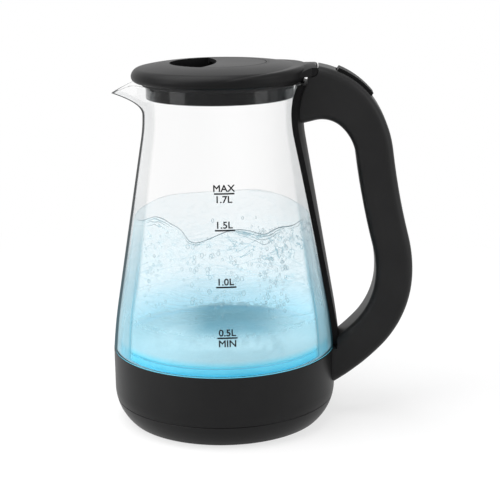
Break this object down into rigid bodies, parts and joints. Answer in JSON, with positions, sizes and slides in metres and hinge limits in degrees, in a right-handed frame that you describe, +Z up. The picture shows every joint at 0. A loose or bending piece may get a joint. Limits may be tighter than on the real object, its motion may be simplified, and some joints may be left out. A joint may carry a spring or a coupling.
{
  "type": "electric kettle",
  "caption": "Cordless glass kettle: tapered jug with pouring lip, hinged lid with finger recess, loop handle with rocker switch, heater housing and a round swivel power base.",
  "frame": {"origin": "on the worktop, at the middle of the kettle's footprint from the base's spout-side edge to the back of the handle; the jug's axis stands 26.5 mm towards -X from it", "axes": "+Z up along the jug's axis, +X towards the handle, -X towards the spout"},
  "size_m": [0.2076, 0.1546, 0.2472],
  "materials": {
    "glass": "clear",
    "black_plastic": "satin",
    "handle_plastic": "satin",
    "spine_plastic": "satin",
    "lid_plastic": "satin",
    "rocker_plastic": "semi gloss",
    "gloss_black": "gloss",
    "socket_plastic": "matt",
    "control_plastic": "matt",
    "rubber_foot": "matt",
    "silicone": "matt",
    "dark_silicone": "matt",
    "light_ring": "clear",
    "board": "matt",
    "lamp": "clear",
    "steel_plate": "brushed",
    "aluminium_disc": "cast",
    "element_sheath": "oxidised",
    "contact_brass": "bright",
    "bimetal": "satin",
    "screw_steel": "zinc plated",
    "lead_sleeve": "matt"
  },
  "bodies": {
    "power_base": {"base_shell": "black_plastic", "base_bottom_cover": "black_plastic", "base_feet": "rubber_foot", "base_screws": "screw_steel", "base_socket": "socket_plastic", "socket_contacts": "contact_brass"},
    "socket_shutter": {"socket_shutter": "socket_plastic"},
    "jug": {"glass_jug": "glass", "glass_seal": "silicone", "light_ring": "light_ring", "led_board": "board", "leds": "lamp", "heater_plate": "steel_plate", "heat_diffuser": "aluminium_disc", "heater_element": "element_sheath", "control_unit": "control_plastic", "connector_contacts": "contact_brass", "dry_boil_discs": "bimetal", "control_screws": "screw_steel", "base_housing": "black_plastic", "jug_bottom_cover": "black_plastic", "bottom_cover_screws": "screw_steel", "handle_spine": "spine_plastic", "handle_body": "handle_plastic", "handle_cover": "handle_plastic", "handle_screws": "screw_steel", "handle_leads": "lead_sleeve", "lid_hinge_pin": "screw_steel", "switch_body": "control_plastic", "steam_bimetal": "bimetal"},
    "lid": {"lid_shell": "lid_plastic", "lid_grip_plate": "lid_plastic", "lid_inner": "gloss_black", "lid_seal": "dark_silicone", "lid_screws": "screw_steel"},
    "switch_rocker": {"switch_rocker": "rocker_plastic"},
    "trip_lever": {"trip_lever": "control_plastic"}
  },
  "joints": [
    {"name": "jug_swivel", "type": "hinge", "parent": "power_base", "child": "socket_shutter", "pos_m": [-0.0265, 0, 0.0165], "axis": [0, 0, 1], "continuous": true},
    {"name": "jug_lift", "type": "slide", "parent": "socket_shutter", "child": "jug", "axis": [0, 0, 1], "range_m": [0, 0.1]},
    {"name": "lid_hinge", "type": "hinge", "parent": "jug", "child": "lid", "pos_m": [0.0354, 0, 0.2427], "axis": [0, 1, 0], "range_deg": [0, 80]},
    {"name": "switch_rock", "type": "hinge", "parent": "jug", "child": "switch_rocker", "pos_m": [0.0609, 0, 0.23006], "axis": [0, 1, 0], "range_deg": [0, 5]},
    {"name": "trip_lever_turn", "type": "hinge", "parent": "jug", "child": "trip_lever", "pos_m": [0.05254, 0, 0.21882], "axis": [0, 1, 0], "range_deg": [-5, 0]}
  ],
  "couplings": [
    {"joint": "trip_lever_turn", "follows": "switch_rock", "ratio": -1}
  ]
}
